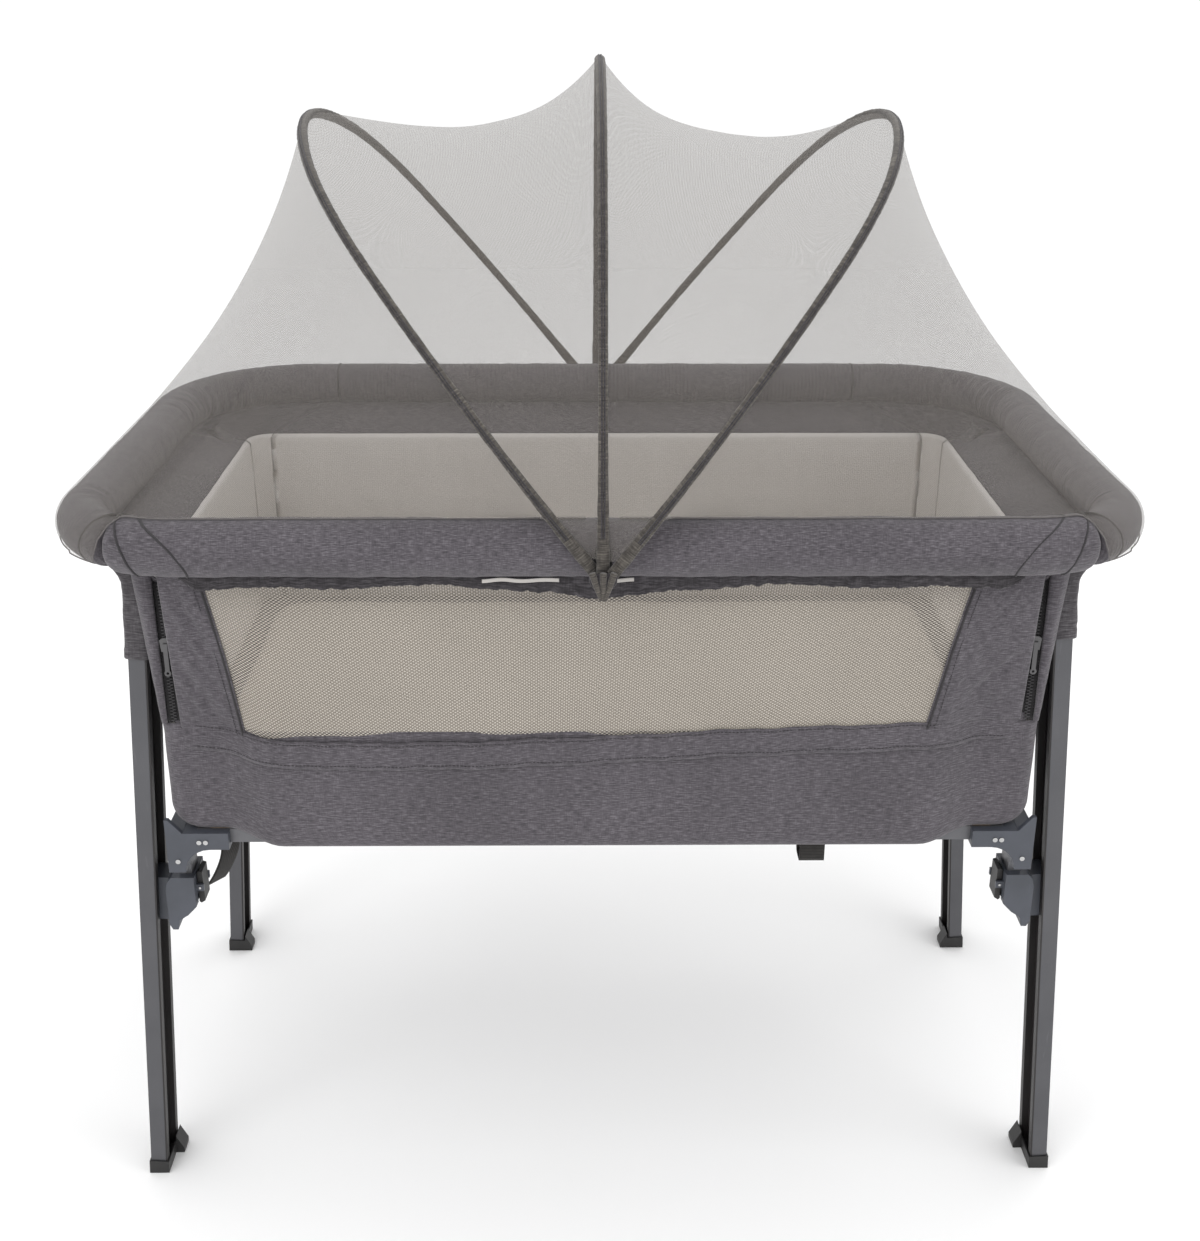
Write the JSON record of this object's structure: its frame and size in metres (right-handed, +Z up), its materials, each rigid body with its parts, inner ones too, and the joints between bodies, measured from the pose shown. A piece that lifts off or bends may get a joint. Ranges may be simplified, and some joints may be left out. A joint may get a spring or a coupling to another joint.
{
  "type": "bassinet on stand",
  "caption": "Fabric cot with a padded rim and zipped mesh drop side on splayed height-adjustable legs, under a fan of hoops with a net canopy.",
  "frame": {"origin": "on the floor, under the middle of the cot", "axes": "+Z up, X along the cot's long side, -Y towards the drop side"},
  "size_m": [0.95, 0.643, 1.0707],
  "materials": {
    "melange_fabric": "woven polyester melange, dark grey",
    "net": "fine tulle net, off-white",
    "mesh_front": "knitted air mesh, beige white",
    "frame_paint": "satin grey powder coat",
    "leg_metal": "satin grey powder coat on aluminium",
    "black_plastic": "matte black",
    "slate_plastic": "matte slate blue grey",
    "bright_steel": "zinc plated",
    "spring_steel": "oiled spring steel",
    "black_webbing": "woven tape and webbing, black",
    "zip_metal": "lacquered zinc, black",
    "board": "thin fibreboard",
    "mattress_fabric": "beige cotton cover"
  },
  "bodies": {
    "root": {"rim_tube": "frame_paint", "rim_cover": "melange_fabric", "corner_connectors": "black_plastic", "back_panel": "melange_fabric", "end_panel_left": "melange_fabric", "end_panel_right": "melange_fabric", "lower_band": "melange_fabric", "base_frame": "frame_paint", "support_slats": "frame_paint", "mattress_board": "board", "mattress": "mattress_fabric", "gusset_front_left": "slate_plastic", "gusset_front_right": "slate_plastic", "gusset_rear_left": "slate_plastic", "gusset_rear_right": "slate_plastic", "stub_tubes": "frame_paint", "housing_front_left": "slate_plastic", "housing_front_right": "slate_plastic", "housing_rear_left": "slate_plastic", "housing_rear_right": "slate_plastic", "gusset_screws": "bright_steel", "lever_pins": "bright_steel", "zip_tape_left": "black_webbing", "zip_tape_right": "black_webbing", "hub_rear": "black_plastic", "leg_sleeves": "melange_fabric", "hanging_strap": "black_webbing", "strap_loop": "black_webbing", "front_panel": "mesh_front", "net_left_end": "net"},
    "leg_front_left": {"leg_front_left": "leg_metal", "track_front_left": "black_plastic", "foot_front_left": "black_plastic"},
    "lever_front_left": {"lever_front_left": "black_plastic"},
    "leg_front_right": {"leg_front_right": "leg_metal", "track_front_right": "black_plastic", "foot_front_right": "black_plastic"},
    "lever_front_right": {"lever_front_right": "black_plastic"},
    "leg_rear_left": {"leg_rear_left": "leg_metal", "track_rear_left": "black_plastic", "foot_rear_left": "black_plastic"},
    "lever_rear_left": {"lever_rear_left": "black_plastic"},
    "leg_rear_right": {"leg_rear_right": "leg_metal", "track_rear_right": "black_plastic", "foot_rear_right": "black_plastic"},
    "lever_rear_right": {"lever_rear_right": "black_plastic"},
    "side_bar": {"front_tube": "frame_paint", "front_bar_cover": "melange_fabric"},
    "zip_slider_left": {"zip_slider_left": "zip_metal"},
    "zip_slider_right": {"zip_slider_right": "zip_metal"},
    "hoop_left": {"hub_front": "black_plastic", "hoop_left_wire": "spring_steel", "hoop_left_sleeve": "melange_fabric", "net_left_middle": "net"},
    "hoop_middle": {"hoop_middle_wire": "spring_steel", "hoop_middle_sleeve": "melange_fabric", "net_right_middle": "net"},
    "hoop_right": {"hoop_right_wire": "spring_steel", "hoop_right_sleeve": "melange_fabric", "net_right_end": "net"}
  },
  "joints": [
    {"name": "height_front_left", "type": "slide", "parent": "root", "child": "leg_front_left", "axis": [-0.068, 0, -0.9977], "range_m": [0, 0.1]},
    {"name": "height_front_right", "type": "slide", "parent": "root", "child": "leg_front_right", "axis": [0.068, 0, -0.9977], "range_m": [0, 0.1]},
    {"name": "height_rear_left", "type": "slide", "parent": "root", "child": "leg_rear_left", "axis": [-0.068, 0, -0.9977], "range_m": [0, 0.1]},
    {"name": "height_rear_right", "type": "slide", "parent": "root", "child": "leg_rear_right", "axis": [0.068, 0, -0.9977], "range_m": [0, 0.1]},
    {"name": "release_front_left", "type": "hinge", "parent": "root", "child": "lever_front_left", "pos_m": [-0.38, -0.205, 0.336], "axis": [0, 1, 0], "range_deg": [0, 8], "stiffness_Nm_per_rad": 0.15},
    {"name": "release_front_right", "type": "hinge", "parent": "root", "child": "lever_front_right", "pos_m": [0.38, -0.205, 0.336], "axis": [0, -1, 0], "range_deg": [0, 8], "stiffness_Nm_per_rad": 0.15},
    {"name": "release_rear_left", "type": "hinge", "parent": "root", "child": "lever_rear_left", "pos_m": [-0.38, 0.205, 0.336], "axis": [0, 1, 0], "range_deg": [0, 8], "stiffness_Nm_per_rad": 0.15},
    {"name": "release_rear_right", "type": "hinge", "parent": "root", "child": "lever_rear_right", "pos_m": [0.38, 0.205, 0.336], "axis": [0, -1, 0], "range_deg": [0, 8], "stiffness_Nm_per_rad": 0.15},
    {"name": "side_drop", "type": "slide", "parent": "root", "child": "side_bar", "axis": [0, 0, -1], "range_m": [0, 0.15], "deforming": ["front_panel"]},
    {"name": "zip_left", "type": "slide", "parent": "root", "child": "zip_slider_left", "axis": [0, 0, 1], "range_m": [-0.045, 0.045]},
    {"name": "zip_right", "type": "slide", "parent": "root", "child": "zip_slider_right", "axis": [0, 0, 1], "range_m": [-0.045, 0.045]},
    {"name": "canopy_fold", "type": "hinge", "parent": "root", "child": "hoop_left", "pos_m": [0, 0, 0.68], "axis": [0, -1, 0], "range_deg": [0, 26], "deforming": ["net_left_end", "net_left_middle"]},
    {"name": "hoop_middle_fold", "type": "hinge", "parent": "hoop_left", "child": "hoop_middle", "pos_m": [0, 0, 0.68], "axis": [0, -1, 0], "range_deg": [0, 28], "deforming": ["net_right_middle"]},
    {"name": "hoop_right_fold", "type": "hinge", "parent": "hoop_middle", "child": "hoop_right", "pos_m": [0, 0, 0.68], "axis": [0, -1, 0], "range_deg": [0, 28], "deforming": ["net_right_end"]}
  ],
  "couplings": [
    {"joint": "hoop_middle_fold", "follows": "canopy_fold", "ratio": 1.0764},
    {"joint": "hoop_right_fold", "follows": "canopy_fold", "ratio": 1.0764}
  ]
}
